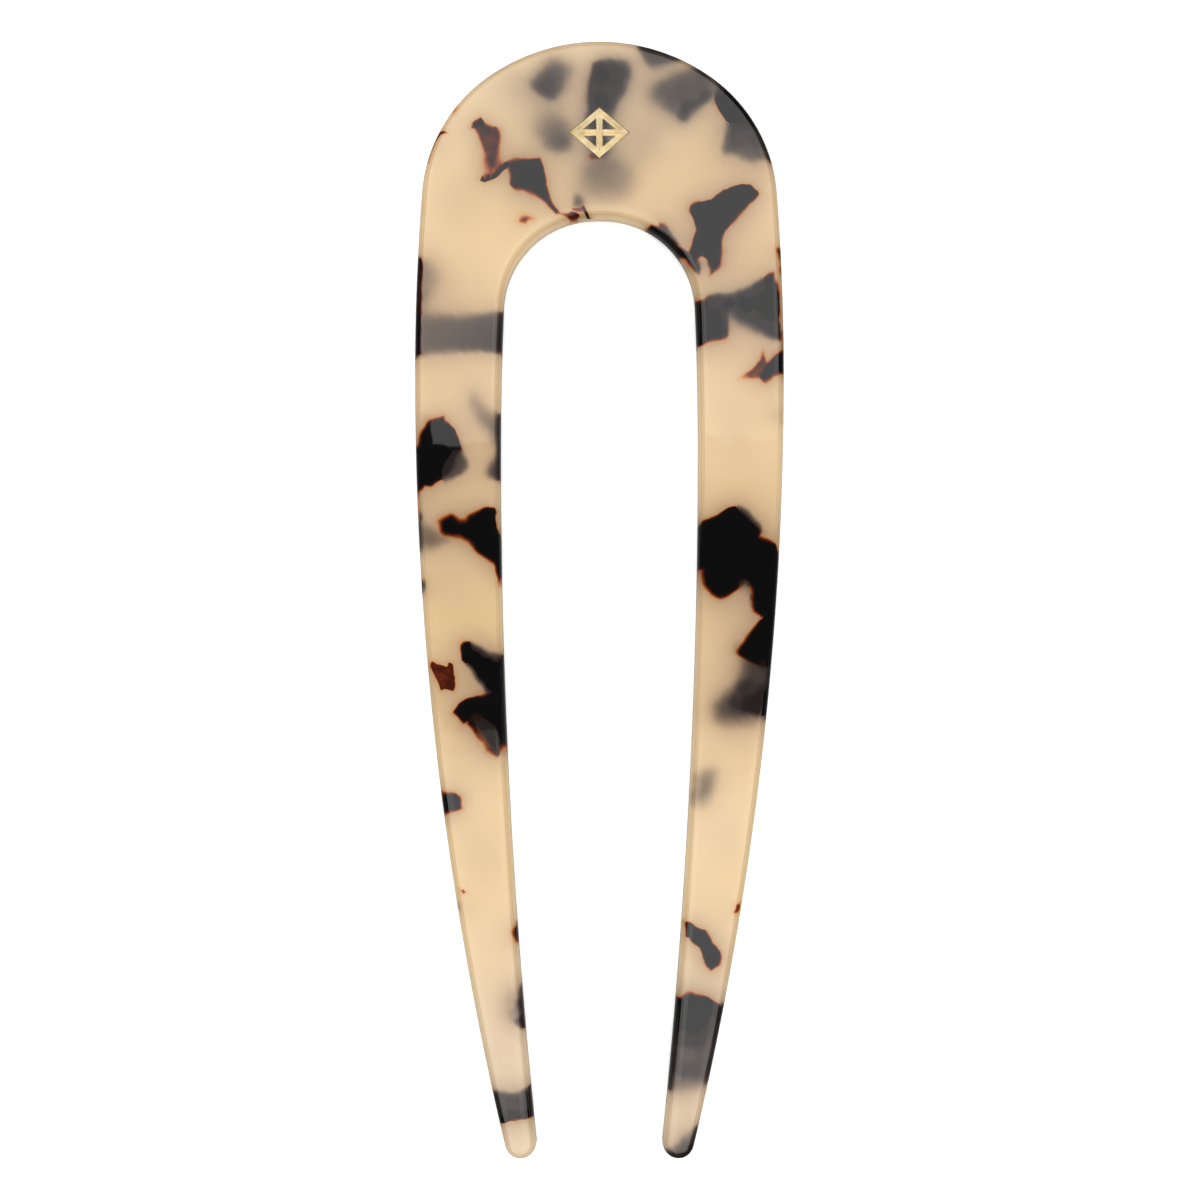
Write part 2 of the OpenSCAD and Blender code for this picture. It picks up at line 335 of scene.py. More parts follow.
crown_flakes = [
    flake([(-9, 64.4), (-7.4, 65.6), (-6.5, 67), (-4.4, 67.4), (-3.5, 66.5), (-4.4, 64.6), (-5, 62.9),
           (-6.2, 62.3), (-7.7, 63.3)], depth=0.5, dip=(0.06, 0.1), low=1.2, blur=2.4),
    flake([(-8.1, 60.2), (-6.6, 61), (-5, 60.6), (-4.2, 59.2), (-3.3, 58), (-3.4, 56.4), (-5, 55.9),
           (-6.5, 56.4), (-7.5, 57.8)], depth=1.25, dip=(-0.1, 0.2), low=0.8, blur=1.3),
    flake([(-0.75, 67.1), (1.5, 67.3), (3.5, 67.2), (4, 66.5), (3.8, 65.2), (3.35, 64), (2.7, 62.8),
           (1.9, 61.4), (1.6, 59.8), (1.7, 57.5), (0.9, 55.3), (-0.8, 55.3), (-1.6, 57), (-1.7, 59.4),
           (-1.45, 61.8), (-1.25, 64), (-0.95, 66.2)], low=0.7, blur=1.3,
          sink=[(-0.9, 66.4, 0.03), (-1.3, 62, 0.04), (-1.2, 64.5, 0.02), (-1.5, 60, 0.3), (-1.6, 58, 0.8),
                (0.3, 65.5, -0.1), (0.2, 62, -0.1), (0, 59.5, 0.05), (0, 57, 0.15), (1.5, 67.4, 0.2),
                (3.6, 66.9, 0.4), (3.4, 64.4, 0.4), (2.4, 62.4, 0.35), (1.6, 60, 0.6), (1.6, 57.5, 1),
                (2, 65, 0)]),
    flake([(-1.3, 55.7), (0.6, 55.7), (0.4, 55.1), (-0.4, 54.95), (-1.3, 55), (-1.6, 55.3)], low=3.3,
          stain=0.95, rim=0.6),
    flake([(-1.9, 54.9), (0, 55.3), (2.8, 55.2), (3.9, 53.4), (4.6, 51), (3.4, 49.8), (1, 49.6), (-1.6, 49.9),
           (-2.6, 51.5)], depth=2.05, dip=(0.06, -0.14), low=1, blur=0.9),
    flake([(-12.5, 66), (-6, 68.5), (5, 68.8), (13, 67.5), (14.5, 60), (8, 57.5), (5.5, 50), (-3, 48.8),
           (-11, 56)], depth=2.3, low=1.6, stain=0.2, blur=1.6),
    flake([(-3.5, 49.2), (-3.1, 50.9), (-2.3, 50.2), (-2, 49.2), (-2.7, 48.8)], depth=0.35, low=2, stain=0.4),
    flake([(-2.3, 49.25), (-1.95, 49.1), (-1.5, 48.4), (-1, 47.7), (-1.25, 47.55), (-1.85, 48.35)], low=2.8,
          stain=0.97, rim=0.14),
    flake([(-3.5, 48.85), (-2.3, 49.05), (-1.6, 48.75), (-2, 48.45), (-3, 48.5)], low=3.4, stain=0.4,
          rim=0.2),
    flake([(-5.3, 48.3), (-4.4, 48.3), (-3.6, 48.5), (-2.9, 48.3), (-2.45, 47.9), (-2.9, 47.5), (-3.6, 47.4),
           (-4.3, 47.8), (-4.9, 48.05)], low=2.2, stain=0.76, rim=0.45),
    flake([(4.2, 71), (4.7, 69.2), (5.2, 68.3), (5.6, 67.4), (6.3, 66.4), (7.2, 66.5), (8.6, 67), (10, 67.3),
           (11.5, 68.5)], depth=0.5, dip=(0, -0.12), low=1.4, blur=0.8),
    flake([(5.6, 63.2), (7, 64.3), (8.8, 65.5), (10.5, 65.9), (12, 66.3), (13.5, 67.4), (15, 66.4),
           (14.9, 64.6), (14.3, 63.2), (13.3, 62.2), (12.4, 61.5), (11.4, 60.7), (10.7, 59.5), (9.9, 59.9),
           (8.9, 60.9), (8.2, 61.4), (6.9, 62.3)], low=0.3, blur=1.2,
          sink=[(6, 63.3, 1.05), (8.5, 64.8, 0.9), (11, 65.8, 0.8), (13.3, 66.6, 0.5), (13.4, 62.4, 0.3),
                (12.2, 61.5, 0.3), (11.2, 60.7, 0.3), (10.5, 60, 0.35), (9.2, 61.4, 0.85), (7.4, 62.4, 0.95),
                (11.5, 63.2, 0.8), (14.6, 64.4, 0.95)]),
    flake([(14.3, 66), (14.5, 64.2), (14.35, 62.5), (14.95, 60.9), (15.9, 59.8), (15.9, 58.8), (15.4, 57.6),
           (15.1, 56.3), (15.2, 55.5), (16.8, 55.4), (17.8, 54.7), (19, 54.3), (20.4, 54.8), (21.6, 54.5),
           (24, 56.5), (17, 67)], lean=(0.1, 0.2),
          sink=[(14.5, 64.2, 0.4), (14.7, 62.4, 0), (15.2, 61, -0.2), (16.2, 60.2, -0.1), (17, 62, -0.2),
                (18.6, 60, 0), (16.2, 58.6, 0.3), (18, 57.6, 0.45), (20, 57.5, 0.35), (15.6, 56.4, 0.55),
                (18.5, 55.4, 0.75), (20.6, 55.4, 0.65), (21.6, 56.6, 0.3)]),
    flake([(20.9, 55.5), (21.1, 54.5), (21.4, 54.6), (21.8, 55.8)], low=3, stain=0.75),
    flake([(-22.2, 55.2), (-21.4, 56.7), (-20.7, 57.7), (-20, 58.3), (-19.3, 58.5), (-19, 58.25),
           (-19.8, 57.8), (-20.35, 57.1), (-20.85, 56.1), (-21.4, 54.8)], low=2.3, stain=0.85, rim=0.2),
    flake([(-18.7, 60.9), (-18.1, 61.7), (-17.6, 61.5), (-18.1, 60.8)], low=3, stain=0.3, rim=0.3),
    flake([(-15.9, 59.6), (-15, 60.15), (-14.6, 59.6), (-13.6, 59.1), (-12.3, 58.8), (-12.3, 57.2),
           (-12.45, 56), (-12.3, 54.9), (-11.3, 54.5), (-11.5, 53.9), (-12.4, 53.6), (-13.2, 52.9),
           (-14.1, 52.5), (-14.7, 52.7), (-14.25, 53.4), (-14.5, 54.4), (-14.5, 55.6), (-14.7, 56.9),
           (-15.2, 58.1), (-15.7, 58.8), (-16.05, 59)], low=2.7, stain=0.69, rim=0.9),
    flake([(-15.9, 59.6), (-15, 60.15), (-14.5, 59.6), (-14.2, 59), (-15.2, 58.7), (-16, 58.9)], low=2.7,
          stain=0.97, rim=0.35),
    flake([(-13.1, 59), (-12.3, 58.8), (-12.4, 57.2), (-12.6, 56), (-12.4, 54.9), (-11.3, 54.6),
           (-11.5, 53.9), (-12.6, 54.2), (-13.1, 55.5), (-12.9, 57.4)], low=2.7, stain=0.74, rim=0.4),
    flake([(-14.95, 52.5), (-14.3, 53.1), (-13.5, 53.25), (-12.8, 53.65), (-12.2, 54.3), (-11.6, 54.6),
           (-11.1, 54.9), (-10.8, 54.4), (-11.5, 53.8), (-12.3, 53.3), (-13, 52.6), (-13.7, 52.3),
           (-14.3, 52.2)], low=2.7, rim=0.1),
    flake([(-11.5, 54.9), (-10.9, 55.15), (-8.9, 55), (-7.4, 55.15), (-7.1, 54.2), (-6.6, 52), (-6, 50.1),
           (-4.95, 48.3), (-5.5, 47.95), (-5.9, 48.5), (-6.6, 49.4), (-8, 50.2), (-9.4, 50.9), (-10.5, 51.05),
           (-11.2, 51.7), (-11.3, 53), (-11.6, 54.1)], low=0.9, lean=(-0.2, 0.25), rim=0.5),
    flake([(-10.15, 47.4), (-9.7, 48.1), (-9, 47.9), (-8.1, 47.5), (-8.9, 47.3), (-9.3, 46.95),
           (-9.9, 47.05)], low=3.2, stain=0.85, rim=0.5),
]

haunch_flakes = [
    flake([(11, 48.7), (11.7, 49.65), (12.9, 49.8), (14, 50.1), (15.2, 50.9), (16.6, 51.4), (17.9, 51.95),
           (18.8, 51.95), (19.4, 51.3), (20.05, 50.8), (19.4, 49.9), (18.3, 48.8), (17.2, 47.7), (16.4, 46.8),
           (15.6, 46), (15.3, 45.2), (15.5, 43.6), (15.35, 42.1), (15, 41.4), (14.3, 40.9), (13.8, 40.35),
           (13.9, 41.3), (13.5, 42.4), (12.9, 42.8), (12.4, 42.5), (12.6, 41.3), (12.6, 40.2), (11.8, 40.9),
           (11.2, 42.2), (10.9, 43.4), (11.35, 44.4), (11.75, 45.6), (12.1, 46.4), (11.9, 47.2),
           (11.5, 47.9)], low=0.5, lean=(0.15, -0.1), rim=0.5,
          sink=[(13, 42.8, -0.1), (13.8, 41.6, 0), (12.3, 41.4, 0.08), (15.3, 44.6, -0.15), (13, 44.2, -0.25),
                (12, 46, -0.3), (14, 46.5, -0.3), (14.6, 43.4, -0.3), (15, 42, -0.2), (11.6, 42.4, -0.2),
                (16, 49, -0.3), (16.2, 46.9, -0.3), (19, 51, -0.3), (11.8, 48.6, -0.3)]),
    flake([(5.9, 46.5), (6.4, 46.95), (6.9, 46.85), (7.9, 46.3), (9.1, 45.2), (10.2, 44.1), (11, 43.4),
           (11.9, 42), (12.4, 41), (12, 40.8), (11.3, 41.4), (10.8, 42.3), (10.1, 42.7), (9, 42.9), (7, 44.2),
           (5.9, 45.4)], low=0.4),
    flake([(6.9, 46.6), (7.4, 47.2), (8, 47.05), (8.6, 46.4), (9.2, 45.5), (9.9, 44.8), (10.4, 44.2),
           (9.4, 44.4), (8.2, 45.4)], low=1.6, stain=0.93, rim=0.5,
          sink=[(7.6, 46.8, -0.1), (8.8, 45.8, 0.04), (10, 44.6, 0.1)]),
    flake([(21.9, 43.6), (22.2, 44.2), (23.6, 44.2), (23.6, 40.8), (22.6, 40.5), (22.3, 41), (22.4, 42),
           (22, 42.8)], low=2.4, stain=0.72),
    flake([(11.3, 37.4), (13, 37.6), (13.6, 37.95), (15, 38.15), (16.2, 38), (17, 38.3), (18.4, 38.95),
           (19.7, 39.75), (20.6, 40.5), (21.8, 40.95), (22, 39.9), (22.4, 39.1), (22.55, 37), (22.6, 35),
           (22.8, 33), (23, 32.2), (22.2, 32.6), (20.8, 33.4), (19.2, 34.3), (17.6, 35.2), (16.7, 36),
           (16.1, 35.8), (16, 34), (16.2, 32.8), (15.95, 32.5), (14.8, 32.2), (13.3, 32), (12.6, 31.7),
           (11.3, 31.6)],
          sink=[(12.5, 37.2, -0.15), (14.2, 37.6, 0.03), (15.6, 37.8, 0.12), (17, 37.9, 0.18),
                (18.4, 38.5, 0.16), (19.6, 39.3, 0.1), (21.4, 40.5, -0.2), (16.2, 36.9, -0.1),
                (22.4, 36, -0.2), (21.8, 33.4, 0.1), (20.4, 34.1, 0.3), (18.8, 34.9, 0.35),
                (17.2, 35.8, 0.35), (16.4, 35.6, 0.2), (15.8, 33.8, 0), (14.5, 32.6, -0.2),
                (12.5, 32.2, -0.2), (14, 35, -0.3), (18, 36.8, -0.3), (20.5, 37.2, -0.3),
                (20.8, 35.6, -0.2)]),
    flake([(15.9, 36.6), (17, 37.4), (20.5, 36.8), (22.5, 35), (22.6, 32.6), (20.9, 32.9), (19.2, 33.6),
           (17.6, 34.5), (16.4, 35.4)], depth=0.34, dip=(-0.03, -0.1), low=0.3, blur=1.6),
    flake([(17.4, 27.6), (18.3, 28.2), (19.2, 28.9), (20.05, 29.8), (20.2, 30.6), (20.35, 31.4), (20.7, 30.5),
           (20.9, 29.8), (21.8, 30.8), (22.8, 31.5), (24, 32.2), (24, 28.1), (22.6, 28.1), (21.7, 27.7),
           (20.9, 27.1), (20.1, 27.6), (18.9, 27.5)], low=2.4, stain=0.55, rim=0.4),
    flake([(20.1, 27.9), (20.6, 28.9), (21.3, 29.8), (22.4, 31.1), (24, 32.2), (24, 28.1), (22.6, 28.1),
           (21.7, 27.6), (20.8, 27), (20.2, 27.4)], low=0.8, rim=0.5),
    flake([(22.75, 24.2), (21.5, 23.9), (20.9, 23), (21.6, 22.1), (22.75, 21.7)], depth=1.6, low=1),
    flake([(-24, 43), (-22, 42.9), (-20.6, 42.2), (-19.3, 41.5), (-19, 40), (-19.6, 38.6), (-20.6, 37.6),
           (-21.2, 36.6), (-24, 35.6)], depth=1.75, dip=(0.3, 0), low=1, blur=0.7),
    flake([(-24, 42.9), (-22.3, 42.7), (-22.15, 41.6), (-22.15, 35.6), (-24, 35.4)], low=2.2, stain=0.6,
          rim=0.2),
    flake([(-24, 37.4), (-22.5, 36.9), (-22.2, 35), (-22.15, 30.7), (-24, 30.35)], low=2.2, stain=0.76,
          rim=0.2),
    flake([(-24, 36), (-22, 36.1), (-20.4, 36), (-18.9, 35.7), (-17, 35.6), (-15.2, 35.7), (-13.8, 35.9),
           (-11, 36.1), (-11, 31), (-13, 30.8), (-16, 30.9), (-19, 30.75), (-21.5, 30.5), (-24, 30.2)],
          depth=0.88, dip=(-0.05, 0.06), blur=0.8),
    flake([(-16.7, 25.6), (-16, 26.7), (-15.4, 26.3), (-14.5, 24.7), (-13.2, 23.3), (-11, 23.2), (-11, 19.5),
           (-13.3, 20), (-14.8, 21.4), (-16, 23.2)], depth=1.4, dip=(-0.08, 0), low=0.6, blur=0.8),
]

upper_leg_flakes = [
    flake([(-24, 19.3), (-22.8, 19.5), (-22.5, 20.6), (-22.15, 21.3), (-21.6, 22.2), (-21, 22.7), (-19.2, 23),
           (-19.1, 22.4), (-18.6, 21.8), (-18.15, 21.3), (-17.85, 20.5), (-17.3, 19.3), (-17.2, 18.8),
           (-17.8, 17.6), (-18.4, 16.4), (-19.2, 15.3), (-19.6, 15.2), (-20.4, 14.7), (-21, 14),
           (-21.8, 14.1), (-22, 13.6), (-22.7, 13.2), (-24, 13.1)], lean=(0.1, -0.1),
          sink=[(-21, 21, -0.3), (-19.2, 21.5, -0.3), (-20.3, 17.5, -0.3), (-19.3, 18.5, -0.25),
                (-18.1, 20.3, -0.2), (-17.8, 18, 0.2), (-18.5, 16.7, 0.25), (-19.2, 15.7, 0.15),
                (-17.7, 19.3, -0.05), (-20.2, 15.6, -0.3), (-21.5, 15, -0.3)]),
    flake([(-17.8, 20.4), (-17.3, 19.2), (-16.6, 17.8), (-16.1, 17), (-16.5, 16), (-17.7, 15.3),
           (-18.7, 15.1), (-19.7, 15.1), (-19.6, 16.5), (-18.9, 18.2)], depth=0.95, low=2, blur=0.3),
    flake([(-11, 19.6), (-12.5, 20.2), (-12.7, 22.8), (-13, 22.9), (-13.1, 20.2), (-13.15, 18.2),
           (-13.5, 17.3), (-14.3, 16.8), (-14.7, 16.1), (-14.3, 15.4), (-13.2, 15), (-11, 14.85)], depth=0.9,
          dip=(-0.2, 0.1)),
    flake([(-24, 13.3), (-22.7, 13.2), (-22.5, 12), (-22.25, 11), (-22.15, 10.3), (-22.4, 9.6), (-24, 9.6)],
          depth=0.25, low=2.2, stain=0.72),
    flake([(-20.35, 10.1), (-19.6, 10.4), (-18.6, 10.75), (-18.1, 10.7), (-17.4, 10.05), (-16.9, 10.1),
           (-16.35, 10.7), (-15.6, 11.2), (-14.6, 11.6), (-13.9, 11.75), (-13.15, 11.55), (-12.8, 11),
           (-12.9, 10.1), (-12.7, 8.95), (-12.4, 8.1), (-11.6, 7.2), (-11.6, 3), (-12.3, 2.4), (-12.55, 1.9),
           (-12.8, 2.9), (-13.1, 4.05), (-13.35, 4.5), (-14.1, 4.9), (-14.75, 5.3), (-15.3, 5.9),
           (-15.9, 6.7), (-16.6, 7.3), (-17.6, 7.65), (-19.3, 7.9), (-19.9, 8.3), (-20.1, 9.3)], low=0.4,
          rim=0.5),
    flake([(-24, 9.9), (-22.4, 9.8), (-20.6, 9.4), (-20.1, 8.2), (-18, 7.7), (-19.2, 6.8), (-20.8, 6.1),
           (-22.2, 6), (-24, 6.3)], depth=1.2, dip=(-0.14, 0), low=0.8),
    flake([(-24, 2.9), (-22.2, 2.7), (-21.65, 2), (-21.7, 1.3), (-22, 0.6), (-24, 0.5)], depth=0.32, low=0.9),
    flake([(11.4, 9), (12.45, 9.3), (12.8, 9.9), (13.7, 10.3), (14.6, 10.75), (15.5, 11.15), (16.3, 11.5),
           (16.8, 11.6), (17.6, 11.5), (18.5, 11), (19.3, 10.3), (20, 9.5), (20.3, 8.7), (20, 8),
           (20.6, 7.75), (21.2, 7.55), (22, 7.1), (22.3, 6.4), (22.4, 5.6), (24, 5.2), (24, -2.8),
           (21.2, -2.4), (20.2, -2.05), (19.6, -1.8), (19.1, -1.4), (18.9, -0.6), (18.8, 0.4), (18.6, 1.4),
           (18.1, 2), (17.5, 1.45), (16.8, 0.9), (16, 0.3), (15.2, 0.05), (14.6, 0.1), (13.8, 0.5),
           (13.2, 1.2), (12.8, 1.9), (12.7, 2.8), (12.6, 3.5), (11.4, 3.9)], rim=0.45,
          sink=[(16.6, 11.3, -0.1), (17.6, 11.4, 0.1), (18.5, 10.9, 0.14), (19.3, 10.2, 0.14),
                (20, 9.4, 0.12), (20.3, 8.6, 0.02), (16.9, 10.3, -0.2), (18, 9.8, -0.2), (18.8, 9.1, -0.2),
                (19.4, 8.3, -0.2), (14.8, 10.2, -0.3), (20.6, 7, -0.3), (13.5, 5, -0.3), (20.5, 2, -0.3),
                (16.5, 1.8, -0.3), (18.1, 1.9, 0.05), (18.6, 0.8, 0.06), (18.9, -0.4, 0.03),
                (19.2, 1.2, -0.25), (19.5, -0.2, -0.25), (20, -0.8, -0.2), (18.8, 3.4, -0.3)]),
]

lower_leg_flakes = [
    flake([(-17.4, -6.2), (-17.3, -5.6), (-16.95, -5.15), (-16.5, -5), (-16, -5.1), (-15.2, -5.6),
           (-14.2, -6.35), (-13, -6.75), (-11, -7), (-11, -12.5), (-14, -12.2), (-14.3, -11.4),
           (-14.9, -10.5), (-15.8, -9.1), (-16.6, -8.1), (-17.15, -7.4)], low=0.3,
          sink=[(-17.1, -6.2, -0.3), (-16.7, -5.5, -0.1), (-15.4, -5.6, 0.2), (-14, -6.2, 0.3),
                (-12.4, -6.7, 0.3), (-15.7, -7.4, -0.2), (-14.2, -8.2, -0.2), (-12.6, -8.6, -0.2),
                (-17, -7.4, -0.05), (-16.6, -8.2, 0.06), (-16.15, -8.8, 0.1), (-15.7, -9.5, 0.14),
                (-15.2, -10.2, 0.17), (-14.7, -10.9, 0.2), (-15.2, -8.4, -0.15), (-14.5, -9.4, -0.15),
                (-13.6, -10.4, -0.2), (-14.3, -11.6, 0.1), (-12.4, -12, -0.3)]),
    flake([(-11, -11.7), (-14.3, -11.7), (-15.2, -11.85), (-16, -12.1), (-16.9, -12.4), (-17.7, -12.95),
           (-18.4, -14.05), (-17.9, -14.6), (-17.5, -15), (-16.9, -15.7), (-16.2, -15.4), (-15.3, -16.1),
           (-14.5, -17.4), (-13.8, -18.5), (-13.1, -19.1), (-12.6, -19.6), (-12.3, -19.4), (-12, -18.8),
           (-11.6, -18.4), (-11, -18.3)], lean=(0.2, -0.1), rim=0.65,
          sink=[(-17.6, -13.8, -0.2), (-16, -13, -0.3), (-14, -13, -0.3), (-12.5, -14.5, -0.3),
                (-12.4, -16.6, -0.3), (-11.9, -18.4, -0.3), (-16.8, -15, -0.15), (-15.3, -14.5, 0),
                (-15.8, -16.1, 0.12), (-14.7, -15.8, 0.13), (-14.9, -17.5, 0.13), (-14.1, -17, 0.13),
                (-14.2, -18.6, 0.12), (-13.4, -18.2, 0.12), (-13.2, -19.2, 0.12), (-13.4, -16.6, 0.08)],
          blur=0.3),
    flake([(-16.5, -15.5), (-16, -16.1), (-15.6, -16.6), (-14.9, -17.8), (-14.1, -18.9), (-13.3, -19.35),
           (-12.6, -19.6), (-12.2, -19.3), (-12.9, -18.85), (-13.7, -18.2), (-14.4, -17.2), (-15, -16.2),
           (-15.7, -15.1)], low=3.3, stain=0.78, rim=0.4),
    flake([(-21.2, -7.85), (-20.8, -7.75), (-20.2, -8.15), (-19.5, -8.3), (-19, -8.4), (-18.8, -7.95),
           (-18.4, -8), (-18.3, -8.5), (-18.1, -9.3), (-18, -10.3), (-18.1, -10.8), (-18.3, -11.15),
           (-18.7, -11), (-19.2, -10.95), (-19.6, -11.15), (-19.9, -10.6), (-20.3, -9.8), (-20.8, -8.8),
           (-21.25, -8.3)], low=3, stain=0.63, rim=0.25),
    flake([(-20.9, -8.5), (-20.2, -8.5), (-19.3, -8.8), (-18.6, -8.9), (-18.1, -9.3), (-18, -10.3),
           (-18.1, -10.8), (-18.3, -11.15), (-18.7, -11), (-19.2, -10.95), (-19.6, -11.15), (-19.9, -10.6),
           (-20.3, -9.8)], low=3, stain=0.695, rim=0.25),
    flake([(-19.9, -10.2), (-19.2, -9.9), (-18.6, -9.5), (-18, -9.6), (-18.1, -10.8), (-18.3, -11.15),
           (-18.7, -11), (-19.2, -10.95), (-19.6, -11.15)], low=3, stain=0.695, rim=0.25),
    flake([(-20.9, -24.2), (-19.8, -24.15), (-19.4, -23.75), (-18.8, -23.85), (-18, -23.9), (-17.45, -24.35),
           (-17.35, -25.1), (-17.25, -25.7), (-16.95, -26), (-17.6, -26.3), (-18.2, -26.55), (-19, -26.8),
           (-19.5, -26.95), (-20.9, -27.1)], low=0.7, lean=(-0.15, 0), rim=0.55),
    flake([(-17.4, -36), (-17, -36.1), (-16.75, -36.45), (-17, -36.6)], low=3.7, stain=0.8, rim=0.12),
    flake([(-17.7, -37.3), (-17, -37.5), (-16.3, -38), (-16.1, -38.6), (-16.9, -39), (-17.5, -38.9)],
          depth=1.5, low=0.9),
    flake([(-9, -40.3), (-10.4, -40.55), (-10.9, -41), (-11.05, -41.6), (-10.75, -42.2), (-10.4, -42.8),
           (-9, -43)], low=1.6, rim=0.55),
    flake([(-8, -47.7), (-10.2, -48), (-11.2, -49), (-11.9, -50.3), (-11.8, -51.2), (-11.2, -52.1),
           (-10.4, -53), (-9.9, -53.6), (-8, -53.7)], low=0.3,
          sink=[(-11.6, -50.5, 2), (-10.6, -49.2, 1.8), (-10.4, -51.6, 1.3), (-9.8, -52.8, 0.5),
                (-9.6, -50.5, 0.9), (-9.3, -53.3, 0)]),
    flake([(-14.6, -61.1), (-13.3, -61.15), (-12, -61.25), (-11.2, -61.35), (-10.2, -61.3), (-9.4, -61.05),
           (-8.7, -60.8), (-7.2, -60.5), (-7.2, -64.4), (-8.4, -64.6), (-10, -64.9), (-11.4, -65.15),
           (-12.4, -65.35), (-14.2, -65.7)], blur=0.7,
          sink=[(-13.3, -61.7, 0.35), (-11.2, -61.8, 0.45), (-9.2, -61.5, 0.35), (-13.2, -65.3, -0.15),
                (-11, -65, -0.15), (-9, -64.6, -0.15), (-12.2, -63.2, 0.35), (-10.8, -63.1, 0.5),
                (-9.4, -62.8, 0.35), (-11, -64.2, 0.1)]),
    flake([(16.9, -6.5), (17.3, -5.7), (17.9, -4.85), (18.3, -4.2), (19, -3.4), (19.8, -2.65), (20.5, -2.1),
           (21.2, -1.4), (24, -1.2), (24, -8.3), (20.4, -8.3), (19.3, -8.2), (18.6, -7.85), (17.9, -7.35),
           (17.2, -6.95)], lean=(-0.15, -0.2),
          sink=[(18.5, -5.8, -0.3), (20.5, -5, -0.3), (17.3, -6.6, -0.2), (19, -7.6, -0.15), (20.6, -7.8, 0),
                (21.8, -7.6, 0.1), (20, -6.8, -0.3)]),
    flake([(16.5, -5.2), (16.6, -6.2), (17.2, -6.9), (17.9, -5.6), (17.5, -4.8)], depth=0.8, low=2,
          stain=0.5),
    flake([(17.8, -6.8), (24, -6.4), (23, -14.3), (20.6, -14.4), (18.4, -14.3), (16.6, -14.6), (14.9, -14.4),
           (14.2, -13.5), (14.5, -12.5), (15.4, -11.5), (16.4, -10.6), (17.2, -9.5), (17.7, -8.2)], blur=1.5,
          sink=[(20.5, -7.5, 0.5), (19.5, -9.2, 0.6), (21.3, -9.8, 0.5), (18, -9, 0.8), (20.8, -12, 0.05),
                (21.2, -13.6, 0.02), (19, -13, 0.1), (18.5, -11, 0.4), (17, -12.6, 0.5), (15.6, -13.4, 1.05),
                (16, -11.6, 0.95)]),
    flake([(14, -13), (13.7, -14.2), (14.2, -15.3), (15.5, -16), (17, -16.1), (18.6, -15.5), (20.6, -15),
           (23, -14.9), (23, -13.5), (16, -12.5)], depth=1.6, low=0.6),
    flake([(12, -20.9), (12.7, -21.4), (13.4, -20.7), (14.9, -20.7), (14.9, -22.2), (14.5, -23.4),
           (14.2, -24.5), (14, -25.6), (12.9, -26), (11.4, -25.8), (11.6, -23.6)], depth=1.31, low=1.9,
          blur=0.9),
    flake([(16.85, -37.9), (17.6, -37.85), (17.7, -38.6), (17.45, -39.1), (16.8, -39.15), (16.65, -38.9),
           (16.9, -38.5)], low=3.3, stain=0.66, rim=0.25),
    flake([(10.6, -40.2), (10.9, -40.05), (11.4, -40.3), (12, -40.8), (12.7, -41), (13.3, -41.1),
           (13.6, -41.6), (14, -42.2), (14.5, -43), (14.95, -43.9), (15.2, -44.8), (15.15, -45.6),
           (14.6, -45.9), (13.8, -46.25), (13.3, -45.8), (13.1, -45), (12.9, -44.2), (12.5, -43.4),
           (11.7, -42.8), (11.1, -42.25), (10.65, -42.1)], low=1, lean=(0, 0.1), rim=0.6),
    flake([(8, -49.5), (10.2, -49.35), (10.9, -48.8), (11.6, -48.9), (12.5, -49.2), (13.4, -49.45),
           (14.2, -49.9), (15.1, -50.45), (14.6, -51.6), (14.2, -52.8), (13.7, -54.2), (13, -55.6),
           (11.8, -56), (10.2, -55.6), (8, -55.4)], lean=(0.1, -0.1),
          sink=[(11, -50.5, -0.3), (13.5, -50.8, -0.3), (12, -53, -0.3), (9.5, -52, -0.3),
                (14.3, -52.4, 0.05), (13.6, -54, 0.1), (12.8, -55.3, 0.35), (11.2, -55.4, 0.35),
                (9.9, -55, 0.2), (11.5, -54.3, 0)]),
    flake([(14.6, -50.4), (16.4, -50.6), (16, -54), (15.2, -57), (14, -60.4), (11, -61), (9.4, -61.4),
           (7.4, -61.4), (8, -53), (12, -53), (13.6, -52)], low=0.3, blur=1.7,
          sink=[(14.6, -51.4, 0.25), (14.2, -53.6, 0.45), (13, -56.2, 0.65), (10.8, -56.6, 0.95),
                (11.8, -58.4, 0.5), (13, -58, 0.5), (10.4, -58.6, 0.45), (11.2, -60.2, 0.95),
                (9.6, -60.2, 0.9), (9.3, -57, 0.45)]),
    flake([(13.2, -65), (12, -65.8), (11.2, -66.4), (10.4, -67.1), (9.5, -67.8), (8.6, -68.4), (7.8, -68.9),
           (6.8, -69), (6.8, -71.5), (13.8, -71.5)],
          sink=[(12.6, -65.6, 0.6), (11.2, -66.8, 0.95), (9.6, -68, 0.9), (8.4, -68.8, 0.6),
                (12.2, -67.2, 0.3), (11.5, -69, 0.12), (10, -69.8, 0.12), (9, -69.6, 0.3)]),
]

